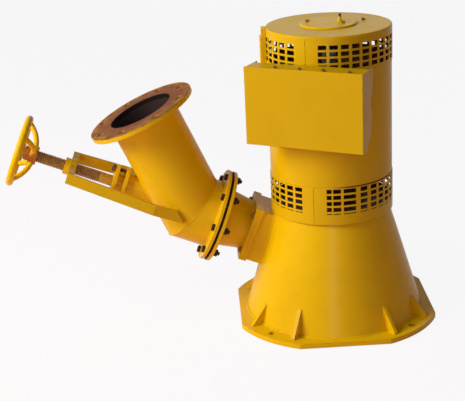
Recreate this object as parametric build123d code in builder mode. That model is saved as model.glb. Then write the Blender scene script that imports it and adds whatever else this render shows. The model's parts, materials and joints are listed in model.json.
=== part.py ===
from build123d import *
import os
from math import cos, radians, sin, tan

# Small vertical-shaft hydroelectric generator: a turbine casing on a flanged base,
# the generator on top of it, and an inclined needle nozzle with a mitred inlet pipe.
# Millimetres and degrees. Origin on the shaft axis at the floor, +Z up,
# the nozzle comes in from -X, the terminal box faces -Y.

# Base plate and gussets
base_margin = 25.0
base_corner_reach = 55.0
base_thickness = 16.0
tail_opening_inset = 20.0
anchor_spacing = 440.0
anchor_hole_dia = 22.0
gusset_spread = 15.0
gusset_height = 66.0
gusset_reach = 32.0
gusset_thickness = 8.0

# Conical turbine casing
casing_bottom_dia = 570.0
casing_shoulder = 8.5
casing_height = 338.0
casing_wall = 6.0
casing_lid_thickness = 12.0
casing_lid_fit = 0.2

# Generator
shell_dia = 384.0
shell_wall = 7.0
vent_ring_lip = 1.5
lower_ring_height = 120.0
shell_height = 356.0
upper_ring_height = 96.0
top_cover_thickness = 12.0

# Vent grid, the same punching in both rings, with plain metal at two seams
vent_wall = 3.0
vent_step = 10.0
vent_row_count = 4
seam_margin = 15.0
vent_width = 25.0
vent_height = 13.5
vent_pitch = 19.5
vent_sill_height = 3.0
lower_vent_margin = 5.0
upper_vent_margin = 14.0
lower_seam_angle = 247.2
upper_seam_angle = 242.7
seam_groove_width = 2.0
seam_groove_depth = 1.0

# The lower ring's columns right of the near seam are cut unevenly: centre angle and width
uneven_columns = ((261.3, 15.0), (268.5, 24.0), (280.4, 40.0), (294.4, 25.5), (305.5, 25.0))
even_again_angle = 315.6

# Bearings, shaft and windings
shaft_dia = 45.0
shaft_fit = 0.05
lower_hub_dia = 130.0
lower_hub_height = 60.0
upper_hub_dia = 150.0
upper_hub_height = 50.0
bearing_cap_dia = 172.0
bearing_cap_thickness = 5.0
air_gap = 5.0
rotor_dia = 210.0
core_height = 220.0
core_drop = 72.0
winding_height = 34.0
winding_radial = 46.0
winding_inset = 20.0

# Shell strap on the side away from the terminal box
strap_angle = 180.0
strap_width = 36.0
strap_proud = 20.0
strap_height = 118.0
strap_step = 5.0
strap_step_height = 26.0

# Grease nipple on the bearing cap
nipple_offset = 38.0
nipple_angle = 15.0
nipple_hex = 11.0
nipple_hex_height = 7.0
nipple_stem_dia = 7.0
nipple_height = 24.0
nipple_ball_dia = 8.5

# Terminal box
box_angle = -28.5
box_width = 369.0
box_height = 234.0
box_depth = 64.0
box_wall = 3.0
box_shift = 23.0
box_drop = 72.0
box_lid_thickness = 4.0
box_lid_lip = 1.5
box_lid_edge = 1.0
box_standoff = 8.0
box_bevel_depth = 37.0
box_bevel_height = 37.0
upper_wing_depth = 19.0
upper_wing_height = 96.0
lower_wing_depth = 10.0
lower_wing_height = 90.0
wing_slope = 40.0
wing_notch = 16.0
saddle_width = 220.0
saddle_height = 156.0
saddle_wall = 8.0

# Nozzle axis: it passes the shaft at runner_pitch_radius and drops towards the casing
nozzle_slope = 22.5
jet_height = 166.0
runner_pitch_radius = 58.0
nozzle_roll = 3.0

# Casing port
port_flange_size = 180.0
port_flange_thickness = 12.5
port_box_size = 170.0
port_box_wall = 6.0
port_face = 298.0
port_bore_dia = 144.0
port_bolt_rise = 124.0
port_bolt_span = 156.0
port_bolt_hole_dia = 13.0

# Nozzle stub and the round flange pair
stub_small_dia = 162.0
stub_large_dia = 190.0
stub_wall = 8.0
joint_face = 397.0
joint_flange_dia = 302.0
joint_flange_thickness = 14.0
joint_pcd = 263.0
joint_bolt_count = 8
joint_hole_dia = 18.0
gasket_thickness = 2.0

# Mitred inlet pipe
pipe_dia = 219.1
pipe_wall = 6.3
elbow_station = 484.0
inlet_turn = 44.0
inlet_length = 366.0
inlet_flange_dia = 350.0
inlet_flange_thickness = 15.0
inlet_pcd = 295.0
inlet_bolt_count = 8
inlet_hole_dia = 22.0

# Nozzle tip and needle
tip_fit = 0.3
tip_mouth_dia = 46.0
tip_throat_dia = 100.0
tip_throat_length = 35.0
tip_wall = 6.0
tip_station = 140.0
needle_bulb_dia = 64.0
needle_point_length = 44.0
needle_shoulder = 72.0
needle_bulb_length = 125.0
needle_rod_dia = 36.0
needle_opening = 36.0

# Stuffing box and gland
stuffing_dia = 84.0
stuffing_port_dia = 50.0
gland_bore_clearance = 0.05
gland_flange_dia = 116.0
gland_flange_thickness = 12.0
stuffing_flange_station = 712.0
gland_station = 746.0
gland_nose_dia = 60.0
gland_stud_count = 2
gland_stud_dia = 12.0
gland_stud_circle = 90.0
gland_stud_overrun = 14.0

# Yoke: two flat arms bowed round the gland, from the inlet pipe to a cross head
yoke_head_station = 880.0
yoke_head_thickness = 20.0
yoke_bar_height = 35.0
yoke_bar_thickness = 9.0
yoke_head_spread = 93.0
yoke_bow_station = 610.0
yoke_bow_spread = 124.0
yoke_foot_station = 523.0
yoke_foot_slant = 44.0
yoke_eye_dia = 60.0
yoke_bush_dia = 48.0
yoke_bush_fit = 0.1
yoke_nut_dia = 54.0
yoke_nut_proud = 18.0

# Spindle and handwheel
spindle_dia = 38.0
spindle_start = 800.0
spindle_fit = 0.05
wheel_station = 1066.0
wheel_dia = 233.0
wheel_rim_dia = 23.0
wheel_spoke_count = 4
wheel_first_spoke = 45.0
wheel_spoke_dia = 17.0
wheel_hub_dia = 60.0
wheel_hub_length = 24.0
wheel_dish = 46.0
wheel_nut_dia = 46.0
wheel_nut_length = 18.0
spindle_overrun = 5.0

# Runner
runner_bucket_count = 16
runner_hub_dia = 62.0
runner_band_dia = 176.0
runner_height = 44.0
runner_band_thickness = 4.0
runner_band_height = 26.0
bucket_thickness = 3.0

# Worked-out heights
casing_top_z = base_thickness + casing_height
shell_z = casing_top_z + lower_ring_height
upper_ring_z = shell_z + shell_height
cover_z = upper_ring_z + upper_ring_height
top_z = cover_z + top_cover_thickness
shell_radius = shell_dia / 2
casing_top_dia = shell_dia - 2 * casing_shoulder
ring_radius = shell_radius + vent_ring_lip
ring_bore = ring_radius - vent_wall

# Nozzle frame: z along the axis away from the casing, x up across it, y to the far side
axis_out = Vector(-cos(radians(nozzle_slope)), 0, sin(radians(nozzle_slope)))
axis_up = Vector(sin(radians(nozzle_slope)), 0, cos(radians(nozzle_slope)))
jet_point = Vector(0, runner_pitch_radius, jet_height)
port_frame = Plane(origin=jet_point, x_dir=axis_up, z_dir=axis_out)


def turned(frame, angle):
    """The frame turned about its own axis."""
    x_dir = frame.x_dir.rotate(Axis((0, 0, 0), frame.z_dir), angle)
    return Plane(origin=frame.origin, x_dir=x_dir, z_dir=frame.z_dir)


def lengthwise(frame):
    """Sketch plane through a frame's axis: x across it, y along it."""
    return Plane(origin=frame.origin, x_dir=frame.x_dir, z_dir=-frame.y_dir)


nozzle_frame = turned(port_frame, -nozzle_roll)


def casing_solid(shrink=0.0):
    """Solid cone of the casing, shrink smaller in radius all round."""
    with BuildPart() as cone:
        with BuildSketch(Plane.XZ):
            with BuildLine():
                Polyline(
                    (0, base_thickness),
                    (casing_bottom_dia / 2 - shrink, base_thickness),
                    (casing_top_dia / 2 - shrink, casing_top_z),
                    (0, casing_top_z),
                    close=True,
                )
            make_face()
        revolve(axis=Axis.Z)
    return cone.part


def round_piece(frame, radius, start, end, bore=0.0):
    """Cylinder on a frame's axis between two stations, with an optional bore."""
    with BuildPart() as piece:
        with BuildSketch(frame.offset(start)):
            Circle(radius)
            if bore > 0:
                Circle(bore, mode=Mode.SUBTRACT)
        extrude(amount=end - start)
    return piece.part


def ring_face(angle, height):
    """Upright plane through the shaft axis that looks out at an angle, x up."""
    return Plane(origin=(0, 0, height), x_dir=(0, 0, 1),
                 z_dir=(cos(radians(angle)), sin(radians(angle)), 0))


def vent_columns(first, seam_angle):
    """Angle and width of each column, from the first round to the next seam's plain metal."""
    columns = []
    while first < seam_angle - vent_step:
        columns.append((first, vent_width))
        first += vent_step
    return columns


def save(piece, name):
    piece.label = name
    export_step(piece, f"parts/{name}.step")
    print(name, round(piece.volume))


os.makedirs("parts", exist_ok=True)

# Base plate: a square with its corners turned to a circle
with BuildPart() as base_plate:
    with BuildSketch():
        Rectangle(casing_bottom_dia + 2 * base_margin, casing_bottom_dia + 2 * base_margin)
        Circle(casing_bottom_dia / 2 + base_corner_reach, mode=Mode.INTERSECT)
        Circle(casing_bottom_dia / 2 - tail_opening_inset, mode=Mode.SUBTRACT)
        with GridLocations(anchor_spacing, anchor_spacing, 2, 2):
            Circle(anchor_hole_dia / 2, mode=Mode.SUBTRACT)
    extrude(amount=base_thickness)
save(base_plate.part, "base_plate")

# Gussets between the plate and the cone, in pairs beside each anchor hole
cone_rise = casing_height / ((casing_bottom_dia - casing_top_dia) / 2)
with BuildPart() as gussets:
    for corner in range(4):
        for side in (-1, 1):
            angle = 45 + 90 * corner + side * gusset_spread
            with BuildSketch(Plane.XZ.rotated((0, 0, angle))):
                foot = casing_bottom_dia / 2
                with BuildLine():
                    Polyline(
                        (foot, base_thickness),
                        (foot + gusset_reach, base_thickness),
                        (foot + gusset_reach, base_thickness + gusset_thickness / 2),
                        (foot - gusset_height / cone_rise, base_thickness + gusset_height),
                        close=True,
                    )
                make_face()
            extrude(amount=gusset_thickness / 2, both=True)
    add(casing_solid(), mode=Mode.SUBTRACT)
save(gussets.part, "base_gussets")

# Turbine casing: an open cone with the nozzle port cut through its side
port_inside = port_box_size - 2 * port_box_wall
with BuildPart() as casing:
    add(casing_solid())
    add(casing_solid(casing_wall), mode=Mode.SUBTRACT)
    with BuildSketch(port_frame.offset(port_bore_dia / 2)):
        Rectangle(port_inside, port_inside)
    extrude(amount=port_face, mode=Mode.SUBTRACT)
save(casing.part, "casing_cone")

# Casing lid: the plate between the turbine casing and the generator, seated on the cone
lid_top_z = casing_top_z + casing_lid_thickness
casing_lid = round_piece(Plane.XY, ring_bore - casing_lid_fit, casing_top_z, lid_top_z,
                         shaft_dia / 2 + air_gap)
save(casing_lid, "casing_lid")


def vent_ring(low, high, first_row_z, seam_angle, columns):
    """Rolled sheet ring with a punched grid of air vents and a groove at each seam."""
    with BuildPart() as ring:
        with BuildSketch(Plane.XY.offset(low)):
            Circle(ring_radius)
            Circle(ring_bore, mode=Mode.SUBTRACT)
        extrude(amount=high - low)
        rows_low = first_row_z - vent_height - vent_pitch * (vent_row_count - 1)
        rows_mid = (first_row_z + rows_low) / 2
        sill_mid = rows_low - vent_pitch + vent_height - vent_sill_height / 2
        for angle, width in columns:
            face = ring_face(angle, rows_mid).offset(ring_bore - vent_wall)
            with BuildSketch(face):
                with GridLocations(vent_pitch, 1, vent_row_count, 1):
                    Rectangle(vent_height, width)
                # A thin last row shows where the ring reaches far enough down
                if sill_mid - vent_sill_height > low:
                    with Locations((sill_mid - rows_mid, 0)):
                        Rectangle(vent_sill_height, width)
            extrude(amount=3 * vent_wall, mode=Mode.SUBTRACT)
        for angle in (seam_angle, seam_angle + 180):
            with BuildSketch(ring_face(angle, (low + high) / 2).offset(ring_radius)):
                Rectangle(high - low, seam_groove_width)
            extrude(amount=-seam_groove_depth, mode=Mode.SUBTRACT)
    return ring.part


lower_seam_far = lower_seam_angle + 180
lower_columns = list(uneven_columns) + vent_columns(even_again_angle, lower_seam_far)
lower_columns += vent_columns(lower_seam_far + seam_margin, lower_seam_angle + 360)
lower_ring = vent_ring(casing_top_z, shell_z, shell_z - lower_vent_margin, lower_seam_angle,
                       lower_columns)
save(lower_ring, "lower_vent_ring")

upper_seam_far = upper_seam_angle + 180
upper_columns = vent_columns(upper_seam_angle + seam_margin, upper_seam_far)
upper_columns += vent_columns(upper_seam_far + seam_margin, upper_seam_angle + 360)
upper_ring = vent_ring(upper_ring_z, cover_z, cover_z - upper_vent_margin, upper_seam_angle,
                       upper_columns)
save(upper_ring, "upper_vent_ring")

shell = round_piece(Plane.XY, shell_radius, shell_z, upper_ring_z, shell_radius - shell_wall)
save(shell, "generator_shell")

with BuildPart() as top_cover:
    with BuildSketch(Plane.XY.offset(cover_z)):
        Circle(ring_radius)
    extrude(amount=top_cover_thickness)
    fillet(top_cover.edges().group_by(Axis.Z)[-1], top_cover_thickness / 3)
save(top_cover.part, "top_cover")

with BuildPart() as bearing_cap:
    with BuildSketch(Plane.XY.offset(top_z)):
        Circle(bearing_cap_dia / 2)
    extrude(amount=bearing_cap_thickness)
    chamfer(bearing_cap.edges().group_by(Axis.Z)[-1], bearing_cap_thickness / 3)
save(bearing_cap.part, "bearing_cap")

# Bearing housings, shaft, rotor and stator, seen through the vents
upper_hub = round_piece(Plane.XY, upper_hub_dia / 2, cover_z - upper_hub_height, cover_z,
                        shaft_dia / 2 + shaft_fit)
save(upper_hub, "upper_bearing_housing")
lower_hub = round_piece(Plane.XY, lower_hub_dia / 2, lid_top_z, lid_top_z + lower_hub_height,
                        shaft_dia / 2 + shaft_fit)
save(lower_hub, "lower_bearing_housing")

shaft_foot = jet_height - runner_height / 2
shaft = round_piece(Plane.XY, shaft_dia / 2, shaft_foot, cover_z - air_gap)
save(shaft, "main_shaft")

core_z = shell_z + core_drop
rotor = round_piece(Plane.XY, rotor_dia / 2, core_z, core_z + core_height, shaft_dia / 2)
save(rotor, "rotor_core")
stator = round_piece(Plane.XY, shell_radius - shell_wall, core_z, core_z + core_height,
                     rotor_dia / 2 + air_gap)
save(stator, "stator_core")

winding_outer = shell_radius - shell_wall - winding_inset
for name, low in (("lower_windings", core_z - winding_height),
                  ("upper_windings", core_z + core_height)):
    with BuildPart() as winding:
        with BuildSketch(Plane.XY.offset(low)):
            Circle(winding_outer)
            Circle(winding_outer - winding_radial, mode=Mode.SUBTRACT)
        extrude(amount=winding_height)
        open_end = 0 if name == "lower_windings" else -1
        fillet(winding.edges().group_by(Axis.Z)[open_end], winding_height / 3)
    save(winding.part, name)

# Strap that closes the upper ring, on the far left, thinner at its top
with BuildPart() as strap:
    strap_frame = ring_face(strap_angle, top_z - strap_height / 2)
    with BuildSketch(strap_frame.offset(shell_radius - shell_wall)):
        Rectangle(strap_height, strap_width)
    extrude(amount=shell_wall + strap_proud)
    with BuildSketch(strap_frame.offset(shell_radius + strap_proud - strap_step)):
        with Locations((strap_height / 2 - strap_step_height / 2, 0)):
            Rectangle(strap_step_height, strap_width)
    extrude(amount=strap_step, mode=Mode.SUBTRACT)
    with BuildSketch(Plane.XY.offset(top_z - strap_height)):
        Circle(ring_radius)
    extrude(amount=strap_height, mode=Mode.SUBTRACT)
    outer = strap.faces().sort_by(Axis((0, 0, 0), tuple(strap_frame.z_dir)))[-1]
    fillet(outer.edges().filter_by(Axis.Z), strap_step / 2)
save(strap.part, "shell_strap")

# Grease nipple of the upper bearing
nipple_turn = radians(nipple_angle)
nipple_foot = Vector(cos(nipple_turn) * nipple_offset, sin(nipple_turn) * nipple_offset,
                     top_z + bearing_cap_thickness)
with BuildPart() as nipple:
    with BuildSketch(Plane(origin=nipple_foot)):
        RegularPolygon(nipple_hex / 2, 6, major_radius=False)
    extrude(amount=nipple_hex_height)
    with BuildSketch(Plane(origin=nipple_foot)):
        Circle(nipple_stem_dia / 2)
    extrude(amount=nipple_height - nipple_ball_dia / 2)
    with Locations(nipple_foot + Vector(0, 0, nipple_height - nipple_ball_dia / 2)):
        Sphere(nipple_ball_dia / 2)
save(nipple.part, "grease_nipple")

# Terminal box: an open-fronted sheet box on a saddle, bevelled along its lower back edge
box_out = Vector(sin(radians(box_angle)), -cos(radians(box_angle)), 0)
box_along = Vector(cos(radians(box_angle)), sin(radians(box_angle)), 0)
box_back = shell_radius + box_standoff
box_top_z = cover_z - box_drop
box_centre = box_along * box_shift + Vector(0, 0, box_top_z - box_height / 2)
box_frame = Plane(origin=box_centre, x_dir=box_along, z_dir=box_out)
box_side = Plane(origin=box_centre + box_out * box_back, x_dir=box_out, z_dir=-box_along)
half_height = box_height / 2


def box_profile(wall):
    """Solid of the box's cross-section, wall smaller all round, but for its open front."""
    with BuildPart() as piece:
        with BuildSketch(box_side.offset(wall - box_width / 2)):
            with BuildLine():
                Polyline(
                    (wall, half_height - wall),
                    (box_depth, half_height - wall),
                    (box_depth, wall - half_height),
                    (box_bevel_depth + wall / 2, wall - half_height),
                    (wall, box_bevel_height + wall / 2 - half_height),
                    close=True,
                )
            make_face()
        extrude(amount=box_width - 2 * wall)
    return piece.part


with BuildPart() as terminal_box:
    add(box_profile(0))
    add(box_profile(box_wall), mode=Mode.SUBTRACT)
    upper_wing_low = half_height - upper_wing_height
    lower_wing_top = upper_wing_low - wing_notch
    lower_wing_low = lower_wing_top - lower_wing_height
    for start in (-box_width / 2, box_width / 2 - box_wall):
        with BuildSketch(box_side.offset(start)):
            with BuildLine():
                Polyline((0, half_height), (-upper_wing_depth, half_height),
                         (-upper_wing_depth, upper_wing_low + wing_slope), (0, upper_wing_low),
                         close=True)
            make_face()
            with BuildLine():
                Polyline((0, lower_wing_top), (-lower_wing_depth, lower_wing_top - wing_notch / 2),
                         (-lower_wing_depth, lower_wing_low + wing_slope), (0, lower_wing_low),
                         close=True)
            make_face()
        extrude(amount=box_wall)
save(terminal_box.part, "terminal_box")

with BuildPart() as box_lid:
    with BuildSketch(box_frame.offset(box_back + box_depth)):
        Rectangle(box_width + 2 * box_lid_lip, box_height + 2 * box_lid_lip)
    extrude(amount=box_lid_thickness)
    chamfer(box_lid.faces().sort_by(Axis((0, 0, 0), tuple(box_out)))[-1].edges(), box_lid_edge)
save(box_lid.part, "terminal_box_lid")

with BuildPart() as saddle:
    with BuildSketch(box_frame.offset(shell_radius / 2)):
        Rectangle(saddle_width, saddle_height)
        Rectangle(saddle_width - 2 * saddle_wall, saddle_height - 2 * saddle_wall,
                  mode=Mode.SUBTRACT)
    extrude(amount=box_back - shell_radius / 2)
    with BuildSketch(Plane.XY.offset(shell_z)):
        Circle(shell_radius)
    extrude(amount=shell_height + upper_ring_height, mode=Mode.SUBTRACT)
save(saddle.part, "box_saddle")

# Casing port: a square box welded to the cone, closed by a pair of square flanges
port_start = port_face - 2 * port_flange_thickness
with BuildPart() as port_box:
    with BuildSketch(port_frame.offset(port_bore_dia / 2)):
        Rectangle(port_box_size, port_box_size)
        Rectangle(port_inside, port_inside, mode=Mode.SUBTRACT)
    extrude(amount=port_start - port_bore_dia / 2)
    add(casing_solid(), mode=Mode.SUBTRACT)
    with BuildSketch(Plane.XY.offset(base_thickness)):
        Circle(casing_top_dia / 2)
    extrude(amount=casing_height, mode=Mode.SUBTRACT)
save(port_box.part, "port_box")


def square_flange(start):
    with BuildPart() as flange:
        with BuildSketch(port_frame.offset(start)):
            Rectangle(port_flange_size, port_flange_size)
            Circle(port_bore_dia / 2, mode=Mode.SUBTRACT)
            with GridLocations(port_bolt_rise, port_bolt_span, 2, 2):
                Circle(port_bolt_hole_dia / 2, mode=Mode.SUBTRACT)
        extrude(amount=port_flange_thickness)
    return flange.part


save(square_flange(port_start), "port_flange")
save(square_flange(port_start + port_flange_thickness), "nozzle_port_flange")


def cone_tube(frame, start, end, start_radius, end_radius, wall):
    """Conical tube on a frame's axis."""
    with BuildPart() as tube:
        with BuildSketch(lengthwise(frame)):
            with BuildLine():
                Polyline(
                    (start_radius - wall, start),
                    (start_radius, start),
                    (end_radius, end),
                    (end_radius - wall, end),
                    close=True,
                )
            make_face()
        revolve(axis=Axis(frame.origin, frame.z_dir))
    return tube.part


joint_low = joint_face - gasket_thickness / 2 - joint_flange_thickness
joint_high = joint_face + gasket_thickness / 2
stub = cone_tube(nozzle_frame, port_face, joint_low, stub_small_dia / 2, stub_large_dia / 2,
                 stub_wall)
save(stub, "nozzle_stub")


def round_flange(frame, start, thickness, outer_dia, bore_dia, pcd, count, hole_dia, turn):
    with BuildPart() as flange:
        with BuildSketch(frame.offset(start)):
            Circle(outer_dia / 2)
            Circle(bore_dia / 2, mode=Mode.SUBTRACT)
            with PolarLocations(pcd / 2, count, start_angle=turn):
                Circle(hole_dia / 2, mode=Mode.SUBTRACT)
        extrude(amount=thickness)
        chamfer(flange.edges().filter_by(GeomType.CIRCLE).sort_by(SortBy.RADIUS)[-2:],
                thickness / 12)
    return flange.part


half_step = 180 / joint_bolt_count
pipe_bore = pipe_dia - 2 * pipe_wall
save(round_flange(nozzle_frame, joint_low, joint_flange_thickness, joint_flange_dia,
                  stub_large_dia - 2 * stub_wall, joint_pcd, joint_bolt_count, joint_hole_dia,
                  half_step), "stub_flange")
save(round_flange(nozzle_frame, joint_high, joint_flange_thickness, joint_flange_dia,
                  pipe_bore, joint_pcd, joint_bolt_count, joint_hole_dia, half_step), "body_flange")

gasket = round_piece(nozzle_frame, joint_pcd / 2 - joint_hole_dia / 2 - gasket_thickness,
                     joint_face - gasket_thickness / 2, joint_face + gasket_thickness / 2,
                     pipe_bore / 2)
save(gasket, "joint_gasket")

# Mitred body: the straight nozzle tube and the inlet pipe meet on one mitre plane
elbow_point = nozzle_frame.origin + nozzle_frame.z_dir * elbow_station
inlet_turn_rad = radians(inlet_turn)
inlet_dir = nozzle_frame.z_dir * cos(inlet_turn_rad) + nozzle_frame.x_dir * sin(inlet_turn_rad)
inlet_frame = Plane(origin=elbow_point, x_dir=nozzle_frame.y_dir, z_dir=inlet_dir)
mitre_normal = (nozzle_frame.z_dir + inlet_dir).normalized()
mitre_plane = Plane(origin=elbow_point, x_dir=nozzle_frame.y_dir, z_dir=mitre_normal)
body_start = joint_high + joint_flange_thickness
pipe_radius = pipe_dia / 2
rod_bore = needle_rod_dia / 2 + gland_bore_clearance


def mitred_pipe(frame, start, end, keep):
    """Pipe on a frame's axis, cut by the mitre plane."""
    with BuildPart() as piece:
        with BuildSketch(frame.offset(start)):
            Circle(pipe_radius)
            Circle(pipe_bore / 2, mode=Mode.SUBTRACT)
        extrude(amount=end - start)
        split(bisect_by=mitre_plane, keep=keep)
    return piece.part


save(mitred_pipe(nozzle_frame, body_start, elbow_station + pipe_dia, Keep.BOTTOM), "nozzle_body")

with BuildPart() as inlet_pipe:
    add(mitred_pipe(inlet_frame, -pipe_dia, inlet_length - inlet_flange_thickness, Keep.TOP))
    with BuildSketch(nozzle_frame.offset(elbow_station)):
        Circle(stuffing_port_dia / 2)
    extrude(amount=stuffing_flange_station - elbow_station, mode=Mode.SUBTRACT)
save(inlet_pipe.part, "inlet_pipe")

save(round_flange(inlet_frame, inlet_length - inlet_flange_thickness, inlet_flange_thickness,
                  inlet_flange_dia, pipe_bore, inlet_pcd, inlet_bolt_count, inlet_hole_dia,
                  180 / inlet_bolt_count), "inlet_flange")

# Stuffing box on the back of the inlet pipe, with the gland follower and its studs
def gland_plate(start):
    with BuildPart() as plate:
        with BuildSketch(nozzle_frame.offset(start)):
            Circle(gland_flange_dia / 2)
            Circle(rod_bore, mode=Mode.SUBTRACT)
            with PolarLocations(gland_stud_circle / 2, gland_stud_count):
                Circle(gland_stud_dia / 2, mode=Mode.SUBTRACT)
        extrude(amount=gland_flange_thickness)
    return plate.part


with BuildPart() as stuffing_box:
    with BuildSketch(nozzle_frame.offset(elbow_station + pipe_radius)):
        Circle(stuffing_dia / 2)
        Circle(rod_bore, mode=Mode.SUBTRACT)
    extrude(amount=stuffing_flange_station - elbow_station - pipe_radius)
    with BuildSketch(inlet_frame):
        Circle(pipe_radius)
    extrude(amount=inlet_length - inlet_flange_thickness, mode=Mode.SUBTRACT)
    add(gland_plate(stuffing_flange_station))
save(stuffing_box.part, "stuffing_box")

gland = gland_plate(gland_station) + round_piece(
    nozzle_frame, gland_nose_dia / 2, stuffing_flange_station + gland_flange_thickness,
    gland_station, rod_bore)
save(gland, "gland_follower")

with BuildPart() as studs:
    stud_end = gland_station + gland_flange_thickness + gland_stud_overrun
    with BuildSketch(nozzle_frame.offset(stuffing_flange_station)):
        with PolarLocations(gland_stud_circle / 2, gland_stud_count):
            Circle(gland_stud_dia / 2)
    extrude(amount=stud_end - stuffing_flange_station)
save(studs.part, "gland_studs")

# Yoke: a head across the axis and one flat arm down each side of the inlet pipe
head_end = yoke_head_station + yoke_head_thickness
spindle_bore = spindle_dia / 2 + spindle_fit
with BuildPart() as yoke_head:
    with BuildSketch(nozzle_frame.offset(yoke_head_station)):
        Rectangle(yoke_bar_height, 2 * yoke_head_spread)
        Circle(yoke_eye_dia / 2)
        Circle(yoke_bush_dia / 2 + yoke_bush_fit, mode=Mode.SUBTRACT)
    extrude(amount=yoke_head_thickness)
save(yoke_head.part, "yoke_head")

yoke_bush = round_piece(nozzle_frame, yoke_bush_dia / 2, yoke_head_station, head_end, spindle_bore)
yoke_collar = round_piece(nozzle_frame, yoke_nut_dia / 2, head_end, head_end + yoke_nut_proud,
                          spindle_bore)
save(yoke_bush + yoke_collar, "yoke_nut")

arm_side = Plane(origin=nozzle_frame.origin, x_dir=nozzle_frame.z_dir, z_dir=nozzle_frame.x_dir)
foot_slant = radians(yoke_foot_slant)
foot_plane = Plane(
    origin=nozzle_frame.origin + nozzle_frame.z_dir * yoke_foot_station,
    x_dir=nozzle_frame.y_dir,
    z_dir=nozzle_frame.z_dir * cos(foot_slant) - nozzle_frame.x_dir * sin(foot_slant),
)
arm_end = yoke_foot_station - yoke_bar_height / 2 * tan(foot_slant)
for name, side in (("near_yoke_arm", 1), ("far_yoke_arm", -1)):
    with BuildPart() as arm:
        with BuildSketch(arm_side.offset(-yoke_bar_height / 2)):
            with BuildLine():
                Polyline(
                    (head_end, side * yoke_head_spread),
                    (head_end, side * (yoke_head_spread + yoke_bar_thickness)),
                    (yoke_bow_station, side * (yoke_bow_spread + yoke_bar_thickness)),
                    (arm_end, side * (pipe_radius + yoke_bar_thickness)),
                    (arm_end, side * pipe_radius),
                    (yoke_bow_station, side * yoke_bow_spread),
                    close=True,
                )
            make_face()
        extrude(amount=yoke_bar_height)
        split(bisect_by=foot_plane, keep=Keep.TOP)
    save(arm.part, name)

# Nozzle tip: a sleeve through the port flanges that narrows to the mouth
tip_root_dia = port_bore_dia - 2 * tip_fit
with BuildPart() as tip:
    with BuildSketch(lengthwise(port_frame)):
        with BuildLine():
            Polyline(
                (tip_mouth_dia / 2, tip_station),
                (tip_mouth_dia / 2 + tip_wall, tip_station),
                (tip_throat_dia / 2 + tip_wall, tip_station + tip_throat_length),
                (tip_root_dia / 2, port_start),
                (tip_root_dia / 2, port_face),
                (tip_root_dia / 2 - tip_wall, port_face),
                (tip_root_dia / 2 - tip_wall, port_start),
                (tip_throat_dia / 2, tip_station + tip_throat_length),
                close=True,
            )
        make_face()
    revolve(axis=Axis(port_frame.origin, port_frame.z_dir))
save(tip.part, "nozzle_tip")

# Needle: a spear that closes the mouth, on a rod through the stuffing box
spear_tip = tip_station - needle_point_length + needle_opening
spear_end = spear_tip + needle_bulb_length
with BuildPart() as spear:
    with BuildSketch(lengthwise(nozzle_frame)):
        with BuildLine():
            point = Line((0, spear_tip), (tip_mouth_dia / 2, spear_tip + needle_point_length))
            Spline(
                point @ 1,
                (needle_bulb_dia / 2, spear_tip + needle_shoulder),
                (needle_rod_dia / 2, spear_end),
                tangents=(point % 1, (0, 1)),
            )
            Polyline((needle_rod_dia / 2, spear_end), (0, spear_end), (0, spear_tip))
        make_face()
    revolve(axis=Axis(nozzle_frame.origin, nozzle_frame.z_dir))
save(spear.part, "needle_spear")
save(round_piece(nozzle_frame, needle_rod_dia / 2, spear_end, spindle_start), "needle_rod")

# Spindle and dished handwheel
hub_low = wheel_station - wheel_dish - wheel_hub_length / 2
hub_high = hub_low + wheel_hub_length
spindle_end = hub_high + wheel_nut_length + spindle_overrun
save(round_piece(nozzle_frame, spindle_dia / 2, spindle_start, spindle_end), "spindle")

rim_radius = wheel_dia / 2 - wheel_rim_dia / 2
hub_mid = (hub_low + hub_high) / 2
with BuildPart() as handwheel:
    with Locations(nozzle_frame.offset(wheel_station)):
        Torus(rim_radius, wheel_rim_dia / 2)
    for i in range(wheel_spoke_count):
        spoke_frame = turned(nozzle_frame, wheel_first_spoke + i * 360 / wheel_spoke_count)
        with BuildLine(lengthwise(spoke_frame)) as path:
            TangentArc((wheel_hub_dia / 4, hub_mid), (rim_radius, wheel_station),
                       tangent=spoke_frame.x_dir)
        with BuildSketch(Plane(origin=path.line @ 0, z_dir=path.line % 0)):
            Circle(wheel_spoke_dia / 2)
        sweep(path=path.line)
    with BuildSketch(nozzle_frame.offset(hub_low)):
        Circle(wheel_hub_dia / 2)
    extrude(amount=wheel_hub_length)
    with BuildSketch(nozzle_frame.offset(hub_low)):
        Circle(spindle_dia / 2)
    extrude(amount=wheel_hub_length, mode=Mode.SUBTRACT)
save(handwheel.part, "handwheel")
save(round_piece(nozzle_frame, wheel_nut_dia / 2, hub_high, hub_high + wheel_nut_length,
                 spindle_dia / 2), "handwheel_nut")

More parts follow.
